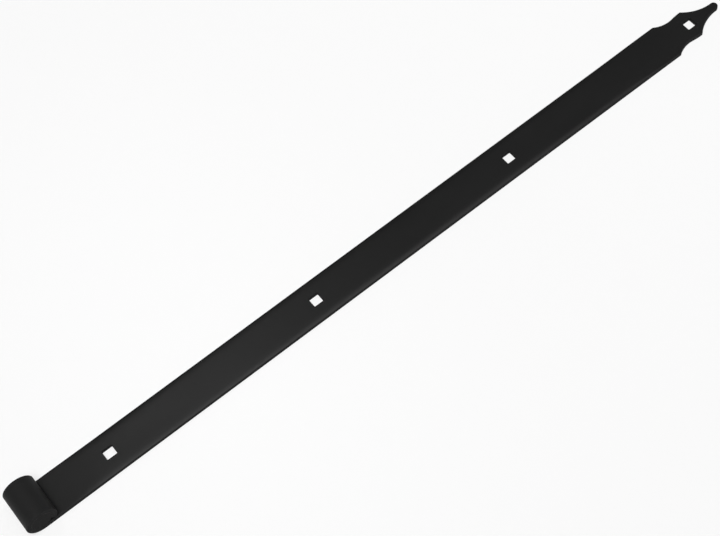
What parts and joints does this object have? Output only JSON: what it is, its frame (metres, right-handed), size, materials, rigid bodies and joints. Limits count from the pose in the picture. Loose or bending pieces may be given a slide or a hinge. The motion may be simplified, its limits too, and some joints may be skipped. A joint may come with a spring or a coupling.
{
  "type": "strap door hinge",
  "caption": "Long flat black steel door strap with a rolled eye on its hinge pin, square holes for carriage bolts and a spear tip; swings a door or gate about the pin.",
  "frame": {"origin": "centre of the pin's foot, on the hinge axis and level with the lower end of the eye", "axes": "+X along the strap from the hinge axis to the tip, +Y up the pin, +Z out of the strap's front face; the part lies on the strap's back"},
  "size_m": [0.8151, 0.04, 0.0302],
  "materials": {
    "strap_coat": "satin black powder coat",
    "pin_coat": "satin black, burnished by the eye"
  },
  "bodies": {
    "pin": {"pintle_pin": "pin_coat"},
    "strap": {"strap": "strap_coat"}
  },
  "joints": [
    {"name": "strap_swing", "type": "hinge", "parent": "pin", "child": "strap", "pos_m": [0, 0, 0], "axis": [0, -1, 0], "range_deg": [0, 180]}
  ]
}
